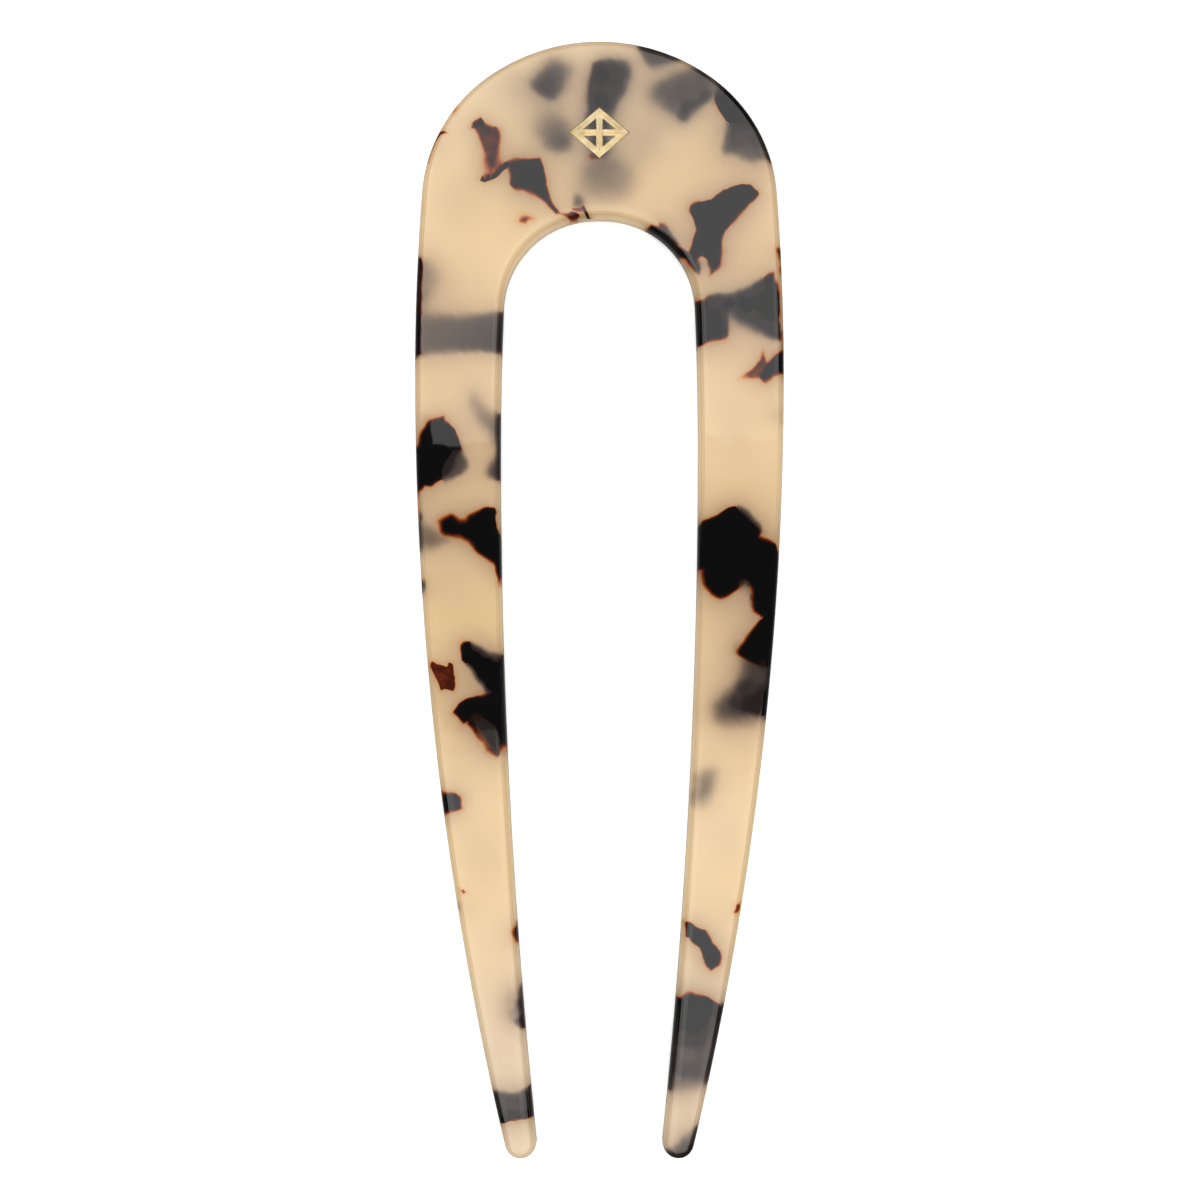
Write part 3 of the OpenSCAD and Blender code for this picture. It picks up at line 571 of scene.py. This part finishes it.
# Flakes that lie deep, so that they show on the back alone.
back_flakes = [
    flake([(-14.5, 65.5), (-10.6, 66.8), (-8.2, 64.2), (-9, 61.8), (-12.5, 61), (-14.8, 62.4)], depth=3.7),
    flake([(3.2, 58.6), (7.4, 59.9), (9.4, 57), (8.6, 53.2), (6.4, 54.4), (4, 53.6)], depth=3.7),
    flake([(-19.6, 53), (-16.2, 51.8), (-15, 48.2), (-17, 45.8), (-19.4, 47.2), (-20.6, 50)], depth=3.7),
    flake([(15, 26.2), (18.8, 24.4), (19.4, 20.2), (17.6, 17.4), (15.4, 18.6), (14.2, 22.6)], depth=3.7),
    flake([(-20.4, 5), (-17.6, 4.2), (-15.6, 0.6), (-17, -2.4), (-19.8, -1.4), (-20.8, 1.8)], depth=3.7,
          stain=0.7),
    flake([(-15.9, -28), (-13.2, -29.4), (-12.4, -33.6), (-14.4, -36), (-16.4, -33)], depth=3.7),
    flake([(14.2, -28.6), (17, -27.4), (18.4, -30), (16.8, -33.6), (14.4, -33)], depth=3.7, stain=0.75),
    flake([(-14.6, -53.6), (-12.4, -54.6), (-11.8, -57.6), (-13.4, -58.6)], depth=3.7),
]
flakes = crown_flakes + haunch_flakes + upper_leg_flakes + lower_leg_flakes + back_flakes


def distance_to_outline(points, corners):
    """Distance from each point to a closed outline, negative inside it.

    It is the shortest distance to the outline's sides. A point is inside where a line from it along X
    crosses the sides an odd number of times.
    """
    ahead = np.roll(corners, -1, 0) - corners
    offset = points[:, None] - corners[None]
    share = np.clip((offset * ahead).sum(-1) / (ahead**2).sum(-1), 0, 1)
    nearest = np.sqrt(((offset - share[..., None] * ahead) ** 2).sum(-1)).min(-1)
    over = corners[:, 1] > points[:, 1:]
    crosses = over != np.roll(over, -1, 1)
    slope = ahead[:, 0] / np.where(ahead[:, 1] == 0, 1e-9, ahead[:, 1])
    hit = offset[..., 0] < slope * offset[..., 1]
    inside = (crosses & hit).sum(-1) % 2 == 1
    return np.where(inside, -nearest, nearest)


wave_lengths_and_sizes = ((5.2, 0.06), (2.3, 0.04), (1.1, 0.02))


def wobbled(plan):
    """The points moved by small sine waves of several lengths, so that no flake has a ruled edge."""
    chance = np.random.default_rng(7)
    moved = plan.copy()
    for length, size in wave_lengths_and_sizes:
        for column in (0, 1):
            heading = chance.uniform(0, np.pi, 2)
            start = chance.uniform(0, 2 * np.pi, 2)
            for turn, shift in zip(heading, start):
                wave = plan @ [np.cos(turn), np.sin(turn)] * 2 * np.pi / length + shift
                moved[:, column] += size * np.sin(wave)
    return moved


def blur_weights(count, cell, width):
    """Weights that blur a row of cells: a Gaussian of the distance between cells, with a sum of one."""
    place = cell * np.arange(count)
    weights = np.exp(-0.5 * ((place[:, None] - place) / width) ** 2)
    return weights * cell / (width * np.sqrt(2 * np.pi))


def filled_chart(low, size, cell, corners):
    """How far each cell of a chart is covered by an outline, from 0 to 1."""
    across, up = (low[axis] + cell * np.arange(size[axis]) for axis in (0, 1))
    cells = np.stack(np.meshgrid(across, up, indexing="ij"), -1).reshape(-1, 2)
    return np.clip(0.5 - distance_to_outline(cells, corners) / cell, 0, 1).reshape(size)


def read_charts(charts, spot):
    """A stack of charts read between its cells: the eight around each spot, by how near they are."""
    spot = np.clip(spot, 0, np.array(charts.shape) - 1.001)
    base = spot.astype(int)
    part = spot - base
    total = np.zeros(len(spot))
    for corner in np.ndindex(2, 2, 2):
        share = np.where(corner, part, 1 - part).prod(1)
        total += share * charts[tuple((base + corner).T)]
    return total


soft_cell = 0.2
soft_widths = [0.15, 0.3, 0.5, 0.8, 1.2, 1.8]
soft_margin = 4.5


def soft_charts(corners):
    """One flake's outline blurred by each width in turn: the low corner, and the stack of charts."""
    low = corners.min(0) - soft_margin
    size = np.ceil((corners.max(0) + soft_margin - low) / soft_cell).astype(int)
    filled = filled_chart(low, size, soft_cell, corners)
    charts = [
        blur_weights(size[0], soft_cell, width) @ filled @ blur_weights(size[1], soft_cell, width)
        for width in soft_widths
    ]
    return low, np.stack(charts)


shade_low = np.array([-25.0, -72.0])
shade_size = np.array([101, 289])
shade_cell = 0.5
thick_flake = 1.2
thinnest_share = 0.15
dimming_depth = 2.5
near_width = 1.2
far_width = 4.0
near_weight = 1.62
far_weight = 1.55


def shade_charts():
    """How much dark stuff lies round each cell, on the back and on the front: near it, and far round it.

    A flake counts by how dense and thick it is and how near the face it lies. Each chart is blurred
    with a narrow and with a wide Gaussian, and the two are added with weights.
    """
    charts = []
    for from_face in (False, True):
        open_share = np.ones(shade_size)
        for one in flakes:
            thickness = sheet - one["depth"] - one["low"]
            deep = one["depth"] if from_face else one["low"]
            weight = one["stain"] * np.clip(thickness / thick_flake, thinnest_share, 1)
            weight *= np.exp(-max(deep, 0) / dimming_depth)
            open_share *= 1 - weight * filled_chart(shade_low, shade_size, shade_cell, one["outline"])
        near, far = (
            blur_weights(shade_size[0], shade_cell, width)
            @ (1 - open_share)
            @ blur_weights(shade_size[1], shade_cell, width)
            for width in (near_width, far_width)
        )
        charts.append(1 - np.exp(-near_weight * near - far_weight * far))
    return np.stack(charts)


def top_of(one, where):
    """Height of a flake's top at each place: the sheet less its depth, which follows its dip or its list.

    Each place in the list counts by one over the fourth power of the distance to it.
    """
    depth = one["depth"] + (where - one["middle"]) @ one["dip"]
    if len(one["sink"]):
        apart = ((where[:, None] - one["sink"][None, :, :2]) ** 2).sum(-1)
        weight = 1 / (apart + 0.05) ** 2
        depth = weight @ one["sink"][:, 2] / weight.sum(1)
    return np.maximum(sheet - depth, one["low"] + 0.1)


# Millimetres, apart from brown_stain, the two steep values, edge_clearness and blur_growth.
flake_reach = 4
no_flake_near = 3.0
plain_rim = 0.4
steep_above = 3
steep_inside = 5
bare_depth = 0.12
brown_stain = 0.7
brown_thin = 2.0
black_thin = 0.35
thin_fade = 0.3
side_shade_across = 0.45
side_shade_down = 0.3
veil_depths = (0.0, 0.25, 0.6, 1.1)
edge_clearness = 0.6
least_blur = 0.2
blur_growth = 0.5
level_fade = 0.15
clear_depth = 1.9


def flake_readings(points):
    """What the flakes do to each point of the skin, as seen straight into the sheet from there.

    The gap is the distance to the nearest flake that comes out at the skin, negative inside it. The
    veil is how dark the flakes look that lie deeper: at each of several depths, how far the flake's
    blurred chart covers the point, with a wider blur the more milky acetate lies above it, times what
    that acetate lets through. Where a flake is bare and thin, it has no veil of its own, because its dye
    is drawn there: a black one is thin a little further in than its rim, and a brown one all over. Along
    the rounded edge a flake throws a little painted shade sideways past its outline. The halo is the wide
    soft painted shade round the flakes. The stain and the rim are the nearest flake's, and the edge runs
    from 0 on a face to 1 on the wall.
    """
    plan = wobbled(points[:, :2])
    height = points[:, 2]
    face_depth = np.minimum(height, sheet - height)
    fall = 1 - np.clip(face_depth - wear_drop, 0, edge_depth) / edge_depth
    edge_share = np.sqrt(np.clip(1 - fall**2, 0, 1))
    inward = np.where(height > sheet / 2, -1.0, 1.0)
    gap = np.full(len(points), no_flake_near)
    clear = np.ones(len(points))
    stain = np.ones(len(points))
    rim = np.full(len(points), plain_rim)
    for one in flakes:
        lowest = one["outline"].min(0) - flake_reach
        highest = one["outline"].max(0) + flake_reach
        near = np.flatnonzero(((plan > lowest) & (plan < highest)).all(1))
        where, level, way, edge = plan[near], height[near], inward[near], edge_share[near]
        top = top_of(one, where)
        here = where - one["lean"] * (sheet - level)[:, None]
        side = distance_to_outline(here, one["outline"])
        outside = np.maximum(level - top, one["low"] - level)
        above = np.maximum(side, 0) + steep_above * outside
        reach = np.where(outside > 0, above, np.maximum(side, steep_inside * outside))
        closer = (reach < gap[near]) & (reach < 1)
        both = (reach < 0) & (gap[near] < 0)
        taken = np.where(closer, one["stain"], stain[near])
        stain[near] = np.where(both, np.maximum(stain[near], one["stain"]), taken)
        rim[near] = np.where(closer, one["rim"], rim[near])
        gap[near] = np.minimum(gap[near], reach)
        low_corner, charts = soft_charts(one["outline"])
        thin = brown_thin if one["stain"] < brown_stain else one["rim"] + black_thin
        bare = np.clip(-outside / bare_depth, 0, 1) * np.clip((side + thin) / thin_fade, 0, 1)
        outside = np.maximum(outside, 0)
        # Painted shade that a bare flake throws sideways past its outline along the rounded edge
        side_shade = np.exp(-np.maximum(side, 0) / side_shade_across) * np.exp(-outside / side_shade_down)
        cover = 0.5 * edge * side_shade * (side > 0)
        for further in veil_depths:
            seen = level + way * (outside + further)
            apart = np.maximum(np.maximum(seen - top, one["low"] - seen), 0)
            milk = (outside + further) * (1 - edge_clearness * edge)
            width = least_blur + blur_growth * one["blur"] * milk
            sort = np.interp(width, soft_widths, np.arange(len(soft_widths)))
            leaning = where - one["lean"] * (sheet - seen)[:, None]
            within = read_charts(charts, np.column_stack([sort, (leaning - low_corner) / soft_cell]))
            straight = read_charts(charts, np.column_stack([sort, (here - low_corner) / soft_cell]))
            within = np.clip(within - bare * straight, 0, 1)
            let_through = np.clip(1 - apart / level_fade, 0, 1) * np.exp(-milk / clear_depth)
            cover = np.maximum(cover, within * let_through)
        clear[near] *= 1 - cover * (0.55 + 0.45 * one["stain"])
    spot = np.column_stack([np.clip(height / sheet, 0, 1), (plan - shade_low) / shade_cell])
    halo = read_charts(shade_charts(), spot)
    return {"flake_gap": gap, "veil": 1 - clear, "halo": halo, "stain": stain, "rim": rim, "edge": edge_share}


skin = np.empty(len(pin.data.vertices) * 3, np.float32)
pin.data.vertices.foreach_get("co", skin)
for reading, values in flake_readings(skin.reshape(-1, 3).astype(float) / MM).items():
    layer = pin.data.attributes.new(reading, "FLOAT", "POINT")
    layer.data.foreach_set("value", values.astype(np.float32))
pin.data.shade_smooth()
pin.data.set_sharp_from_angle(angle=np.radians(32))


def new_material(name):
    """A node material whose shader is joined to its output, and that shader."""
    material = bpy.data.materials.new(name)
    material.use_nodes = True
    nodes = material.node_tree.nodes
    nodes.clear()
    shader = nodes.new("ShaderNodeBsdfPrincipled")
    output = nodes.new("ShaderNodeOutputMaterial")
    material.node_tree.links.new(shader.outputs["BSDF"], output.inputs["Surface"])
    return material, shader


def feed(tree, socket, value):
    """Joins an output to an input, or sets the input to a number or colour."""
    if isinstance(value, bpy.types.NodeSocket):
        tree.links.new(value, socket)
    else:
        socket.default_value = value


def calculate(tree, operation, first, second=0.0, third=0.0):
    """One step of arithmetic on two or three values."""
    node = tree.nodes.new("ShaderNodeMath")
    node.operation = operation
    for socket, value in zip(node.inputs, (first, second, third)):
        feed(tree, socket, value)
    return node.outputs[0]


def spread(tree, value, low, high, to_low=0.0, to_high=1.0):
    """The value carried from one range to another, eased at both ends."""
    node = tree.nodes.new("ShaderNodeMapRange")
    node.interpolation_type = "SMOOTHSTEP"
    for socket, number in zip(node.inputs, (value, low, high, to_low, to_high)):
        feed(tree, socket, number)
    return node.outputs[0]


def blend(tree, share, first, second, how="MIX"):
    """Two colours mixed or multiplied by a share."""
    node = tree.nodes.new("ShaderNodeMix")
    node.data_type = "RGBA"
    node.blend_type = how
    feed(tree, node.inputs["Factor"], share)
    feed(tree, node.inputs[6], first)
    feed(tree, node.inputs[7], second)
    return node.outputs[2]


def soft_grain():
    """A node group for any material: soft noise, and a mask that eases from one level of it to another."""
    group = bpy.data.node_groups.new("soft grain", "ShaderNodeTree")
    group.interface.new_socket("Place", in_out="INPUT", socket_type="NodeSocketVector")
    for name in ("Scale", "Detail", "Roughness", "Low", "High", "To Low", "To High"):
        group.interface.new_socket(name, in_out="INPUT", socket_type="NodeSocketFloat")
    for name in ("Noise", "Mask"):
        group.interface.new_socket(name, in_out="OUTPUT", socket_type="NodeSocketFloat")
    given = group.nodes.new("NodeGroupInput")
    noise = group.nodes.new("ShaderNodeTexNoise")
    group.links.new(given.outputs["Place"], noise.inputs["Vector"])
    for name in ("Scale", "Detail", "Roughness"):
        group.links.new(given.outputs[name], noise.inputs[name])
    levels = [given.outputs[name] for name in ("Low", "High", "To Low", "To High")]
    result = group.nodes.new("NodeGroupOutput")
    group.links.new(noise.outputs["Fac"], result.inputs["Noise"])
    group.links.new(spread(group, noise.outputs["Fac"], *levels), result.inputs["Mask"])
    return group


grain_group = soft_grain()


def placed_grain(tree, place, scale, detail, roughness):
    """The soft grain group placed in a material, with so many waves per metre."""
    node = tree.nodes.new("ShaderNodeGroup")
    node.node_tree = grain_group
    tree.links.new(place, node.inputs["Place"])
    for name, number in (("Scale", scale), ("Detail", detail), ("Roughness", roughness)):
        node.inputs[name].default_value = number
    return node


def grain(tree, place, scale, detail, roughness=0.5):
    """The grain's noise."""
    return placed_grain(tree, place, scale, detail, roughness).outputs["Noise"]


def patches(tree, place, scale, detail, roughness, low, high, to_low=0.0, to_high=1.0):
    """The grain's mask, between two levels of the noise."""
    node = placed_grain(tree, place, scale, detail, roughness)
    for name, number in (("Low", low), ("High", high), ("To Low", to_low), ("To High", to_high)):
        node.inputs[name].default_value = number
    return node.outputs["Mask"]


def read_layer(tree, name):
    """One of the readings kept on the skin."""
    node = tree.nodes.new("ShaderNodeAttribute")
    node.attribute_name = name
    return node.outputs["Fac"]


warm_ivory = (0.65, 0.46, 0.242, 1)
pale_ivory = (0.68, 0.495, 0.284, 1)
milk_streak = (0.595, 0.427, 0.26, 1)
prong_ivory = (0.65, 0.505, 0.335, 1)
crown_ivory = (0.66, 0.5, 0.305, 1)
painted_edge_shade = (0.2, 0.12, 0.06, 1)
painted_edge_light = (0.94, 0.75, 0.5, 1)
flake_shade = (0.27, 0.176, 0.112, 1)
veiled_grey = (0.062, 0.046, 0.037, 1)
veiled_black = (0.014, 0.0095, 0.0095, 1)
flake_glow = (0.97, 0.7, 0.48, 1)

# How far in across a bare flake's rim, and what colour its dye lets through there.
dye_through_rim = [
    (0.0, (1, 1, 1, 1)),
    (0.12, (0.93, 0.74, 0.56, 1)),
    (0.26, (0.74, 0.38, 0.16, 1)),
    (0.42, (0.42, 0.11, 0.035, 1)),
    (0.6, (0.13, 0.026, 0.012, 1)),
    (0.82, (0.02, 0.008, 0.008, 1)),
    (1.0, (0.003, 0.0035, 0.006, 1)),
]


def tortoiseshell_acetate():
    """Milky ivory acetate with flakes: its colour, painted edge light and shade, painted halo shade, veiled
    and bare flakes.
    """
    material, shader = new_material("tortoiseshell acetate")
    tree = material.node_tree
    place = tree.nodes.new("ShaderNodeTexCoord").outputs["Object"]
    gap, veil, halo = (read_layer(tree, name) for name in ("flake_gap", "veil", "halo"))
    stain, rim, edge = (read_layer(tree, name) for name in ("stain", "rim", "edge"))

    # Ivory with soft clouds and streaks, cooler towards both ends, with painted shade lines and painted light
    # along its rounded edge
    cloud = patches(tree, place, 42, 1.5, 0.5, 0.36, 0.64)
    ivory = blend(tree, cloud, warm_ivory, pale_ivory)
    streaks = patches(tree, place, 95, 2, 0.5, 0.3, 0.75, 0.0, 0.35)
    ivory = blend(tree, streaks, ivory, milk_streak)
    along = tree.nodes.new("ShaderNodeSeparateXYZ")
    tree.links.new(place, along.inputs["Vector"])
    ivory = blend(tree, spread(tree, along.outputs["Y"], -0.032, -0.06), ivory, prong_ivory)
    ivory = blend(tree, spread(tree, along.outputs["Y"], 0.052, 0.067), ivory, crown_ivory)
    # Painted shade: two darker lines across the rounded edge
    for middle, strength in ((0.12, 0.26), (0.5, 0.12)):
        apart = calculate(tree, "ABSOLUTE", calculate(tree, "SUBTRACT", edge, middle))
        ivory = blend(tree, spread(tree, apart, 0.15, 0.03, 0.0, strength), ivory, painted_edge_shade)
    # Painted light: the ivory turns paler towards the wall of the rounded edge
    ivory = blend(tree, spread(tree, edge, 0.5, 1.0, 0.0, 0.55), ivory, painted_edge_light)
    # Painted shade: the ivory darkens round the flakes by the halo
    ivory = blend(tree, halo, ivory, flake_shade)

    # Flakes under milky acetate, grey where they are deep and black where they are near
    smoke = calculate(tree, "MULTIPLY_ADD", grain(tree, place, 700, 2), 0.1, -0.05)
    veil = calculate(tree, "ADD", veil, calculate(tree, "MULTIPLY", smoke, veil))
    colour = blend(tree, spread(tree, veil, 0.08, 0.68), ivory, veiled_grey)
    colour = blend(tree, spread(tree, veil, 0.6, 0.92), colour, veiled_black)

    # Bare flakes, with ragged borders and brown light through their rims
    jag = calculate(tree, "SUBTRACT", grain(tree, place, 1700, 3, 0.6), 0.5)
    jag = calculate(tree, "MULTIPLY", jag, patches(tree, place, 260, 1, 0.5, 0.45, 0.68, 0.03, 0.2))
    gap = calculate(tree, "ADD", gap, jag)
    rim = calculate(tree, "MULTIPLY", rim, patches(tree, place, 170, 1, 0.5, 0.34, 0.66, 0.5, 1.7))
    inside = calculate(tree, "DIVIDE", calculate(tree, "SUBTRACT", 0.1, gap), rim)
    inside = calculate(tree, "MINIMUM", calculate(tree, "MAXIMUM", inside, 0.0), 1.0)
    density = calculate(tree, "MULTIPLY", patches(tree, place, 420, 3, 0.6, 0.3, 0.7, 0.74, 1.16), stain)
    density = calculate(tree, "MAXIMUM", density, spread(tree, stain, 0.8, 0.95))
    inside = calculate(tree, "MULTIPLY", inside, density)
    dye = tree.nodes.new("ShaderNodeValToRGB")
    while len(dye.color_ramp.elements) < len(dye_through_rim):
        dye.color_ramp.elements.new(0.5)
    for stop, (position, tint) in zip(dye.color_ramp.elements, dye_through_rim):
        stop.position = position
        stop.color = tint
    tree.links.new(inside, dye.inputs["Fac"])
    glow = spread(tree, gap, 0.0, 0.7, 0.5, 0.0)
    colour = blend(tree, glow, colour, blend(tree, 1.0, colour, flake_glow, "MULTIPLY"))
    colour = blend(tree, 1.0, colour, dye.outputs["Color"], "MULTIPLY")
    tree.links.new(colour, shader.inputs["Base Color"])

    # Gloss that is not quite even, with the last marks of the polishing wheel along the edges
    polish = patches(tree, place, 320, 3, 0.6, 0.3, 0.7, 0.012, 0.035)
    tree.links.new(polish, shader.inputs["Roughness"])
    shader.inputs["IOR"].default_value = 1.48
    bump = tree.nodes.new("ShaderNodeBump")
    bump.inputs["Strength"].default_value = 0.35
    bump.inputs["Distance"].default_value = 0.0001
    bend = calculate(tree, "MULTIPLY", grain(tree, place, 300, 1), 3.0)
    streak = calculate(tree, "SINE", calculate(tree, "MULTIPLY_ADD", edge, 46.0, bend))
    streak = calculate(tree, "MULTIPLY", streak, 0.006)
    tree.links.new(calculate(tree, "ADD", grain(tree, place, 110, 2), streak), bump.inputs["Height"])
    tree.links.new(bump.outputs["Normal"], shader.inputs["Normal"])
    return material


pin.data.materials.append(tortoiseshell_acetate())
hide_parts("pin_body")
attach(pin, "root")

# Ornament: a quartered lozenge of pale gold-coloured brass, pressed with a soft raised line along
# both sides of its rim and bars. It is glued into its recess and stands a hair proud of the face.
ornament_rise = 0.055
ridge_rise = 0.017
rubbed_gold = (0.97, 0.8, 0.48, 1)
dull_gold = (0.9, 0.685, 0.35, 1)


def bar_profile():
    """Half widths and heights once round a bar: straight walls and two low ridges with a groove between.

    Each ridge is a Gaussian of the distance from its middle, and the eighth power rounds the corners.
    """
    across = np.linspace(-1, 1, 17)
    ridge = np.exp(-(((np.abs(across) - 0.52) / 0.3) ** 2))
    crest = ornament_rise + ridge_rise * ridge / ridge.max() - ornament_rise * np.abs(across) ** 8
    half = ornament_bar / 2
    top = np.stack([across * half, sheet + crest], 1)
    walls = np.array([[half, ornament_low], [-half, ornament_low]])
    return np.vstack([top, walls])


def bar_along(name, path, closed):
    """The bar's section carried along a path, set square to it and to the mitre at each corner."""
    path = np.asarray(path, float)
    ahead = np.roll(path, -1, 0) - path
    ahead /= np.linalg.norm(ahead, axis=1)[:, None]
    if not closed:
        ahead[-1] = ahead[-2]
    behind = np.roll(ahead, 1, 0)
    if not closed:
        behind[0] = ahead[0]
    square = np.stack([ahead[:, 1], -ahead[:, 0]], 1)
    mitre = ahead + behind
    mitre /= np.linalg.norm(mitre, axis=1)[:, None]
    out = np.stack([mitre[:, 1], -mitre[:, 0]], 1)
    out /= (out * square).sum(1)[:, None]
    profile = bar_profile()
    plan = path[:, None] + out[:, None] * profile[None, :, :1]
    height = np.broadcast_to(profile[None, :, 1:], plan.shape[:2] + (1,))
    grid = np.concatenate([plan + [0, ornament_y], height], -1)
    mesh = mesh_from_grid(name, grid, closed_rows=closed)
    if not closed:
        count = len(profile)
        work = bmesh.new()
        work.from_mesh(mesh)
        work.verts.ensure_lookup_table()
        work.faces.new(work.verts[:count])
        work.faces.new(work.verts[-count:])
        work.to_mesh(mesh)
        work.free()
    return shown(name, merged(mesh))


def pale_gold():
    """Satin pale gold: warm metal with a fine grain, paler where it is rubbed."""
    material, shader = new_material("pale gold")
    tree = material.node_tree
    place = tree.nodes.new("ShaderNodeTexCoord").outputs["Object"]
    rubbed = patches(tree, place, 1100, 2, 0.5, 0.3, 0.7)
    tree.links.new(blend(tree, rubbed, dull_gold, rubbed_gold), shader.inputs["Base Color"])
    shader.inputs["Metallic"].default_value = 1.0
    satin = patches(tree, place, 900, 2, 0.5, 0.3, 0.7, 0.44, 0.56)
    tree.links.new(satin, shader.inputs["Roughness"])
    bump = tree.nodes.new("ShaderNodeBump")
    bump.inputs["Strength"].default_value = 0.2
    bump.inputs["Distance"].default_value = 0.00003
    tree.links.new(grain(tree, place, 2600, 3, 0.6), bump.inputs["Height"])
    tree.links.new(bump.outputs["Normal"], shader.inputs["Normal"])
    return material


rim_middle = lozenge_half(-ornament_bar / 2)
corners = np.array([[rim_middle[0], 0], [0, -rim_middle[1]], [-rim_middle[0], 0], [0, rim_middle[1]]])
ornament = bar_along("lozenge_ornament", corners, True)
for bar_name, end in (("level_bar", [rim_middle[0], 0]), ("upright_bar", [0, rim_middle[1]])):
    cut_or_join(ornament, "UNION", bar_along(bar_name, [-np.array(end), np.array(end)], False))
ornament.data.shade_smooth()
ornament.data.set_sharp_from_angle(angle=np.radians(40))
ornament.data.materials.clear()
ornament.data.materials.append(pale_gold())
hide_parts("gold_inlay")
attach(ornament, "root")

# Floor: a plain matt white table top, a fifth of a millimetre under the pin. It glows a little, as
# paper on a light table does, and the pin's gloss doesn't mirror it.
floor_half = 0.8
floor_z = -0.0002
floor_x = floor_half * np.array([-1, 1, 1, -1])
floor_y = floor_half * np.array([-1, -1, 1, 1])
floor_mesh = bpy.data.meshes.new("floor")
floor_mesh.from_pydata(np.column_stack([floor_x, floor_y, np.full(4, floor_z)]).tolist(), [], [(0, 1, 2, 3)])
floor_material, floor_shader = new_material("white table top")
floor_shader.inputs["Base Color"].default_value = (0.9, 0.9, 0.9, 1)
floor_shader.inputs["Emission Color"].default_value = (1, 1, 1, 1)
floor_shader.inputs["Emission Strength"].default_value = 0.3
floor_shader.inputs["Roughness"].default_value = 0.7
floor_shader.inputs["Specular IOR Level"].default_value = 0.2
floor = shown("floor", floor_mesh, floor_material)
floor.visible_glossy = False


# Light: a wide soft ceiling that gives no reflection, bright panels whose reflections cover the crown and
# the prongs and fade towards the middle of the pin, strips that draw a light line along the rounded
# edges, and a dim world.
panel_z = 0.45
strip_z = 0.44


def light_panel(name, place, size, radiance, mirrored=True):
    """A panel that shines straight down: its energy is the radiance times pi times its area."""
    data = bpy.data.lights.new(name, "AREA")
    data.shape = "RECTANGLE"
    data.size, data.size_y = size
    data.energy = radiance * np.pi * size[0] * size[1]
    panel = bpy.data.objects.new(name, data)
    panel.location = place
    panel.visible_glossy = mirrored
    panel.visible_camera = False
    bpy.context.scene.collection.objects.link(panel)


light_panel("ceiling", (0, 0, 1.0), (2.4, 2.4), 1.29, mirrored=False)
light_panel("crown_panel", (0, 0.1765, panel_z), (0.5, 0.207), 1.75)
light_panel("crown_panel_end", (0.0922, 0.0672, panel_z), (0.3155, 0.0116), 1.5)
light_panel("prong_panel", (0, -0.1755, panel_z), (0.5, 0.199), 1.85)
for end_y, radiance in ((-0.056, 0.5), (-0.064, 0.95), (-0.072, 1.4)):
    light_panel("prong_panel_end", (0, end_y, panel_z), (0.5, 0.008), radiance)
light_panel("arch_strip", (0, 0.105, strip_z), (0.04, 0.07), 1.0)
light_panel("gap_strip", (0, -0.15, strip_z), (0.04, 0.2), 0.75)
for side in (-1, 1):
    light_panel("upper_strip", (0.115 * side, 0.137, strip_z), (0.06, 0.125), 0.5)
    light_panel("lower_strip", (0.1 * side, -0.15, strip_z), (0.085, 0.2), 0.5)

# The world is a little brighter below, and white where the camera sees it past the floor.
world = bpy.data.worlds.new("studio")
bpy.context.scene.world = world
world.use_nodes = True
world_tree = world.node_tree
world_light = world_tree.nodes["Background"]
ray = world_tree.nodes.new("ShaderNodeLightPath")
heading = world_tree.nodes.new("ShaderNodeSeparateXYZ")
directions = world_tree.nodes.new("ShaderNodeTexCoord")
world_tree.links.new(directions.outputs["Generated"], heading.inputs["Vector"])
dim = spread(world_tree, heading.outputs["Z"], -0.9, -0.3, 0.24, 0.12)
seen = calculate(world_tree, "MULTIPLY", ray.outputs["Is Camera Ray"], 0.9)
world_tree.links.new(calculate(world_tree, "ADD", dim, seen), world_light.inputs["Strength"])
world_light.inputs["Color"].default_value = (1, 1, 1, 1)
bpy.context.scene.view_settings.view_transform = "Standard"

# Camera: straight above the pin, as a copy stand holds it, and close enough that the crown's rim and
# the arch turn their edges to it. Its view is 150.68 mm wide at the top of the edges' narrow wall.
camera_x = 0.00007
camera_height = 0.213
view_height = 0.0025
view_width = 0.15068
sensor_width = 36
camera_data = bpy.data.cameras.new("camera")
camera_data.sensor_width = sensor_width
camera_data.lens = sensor_width * (camera_height - view_height) / view_width
camera = bpy.data.objects.new("camera", camera_data)
camera.location = (camera_x, 0, camera_height)
bpy.context.scene.collection.objects.link(camera)
bpy.context.scene.camera = camera
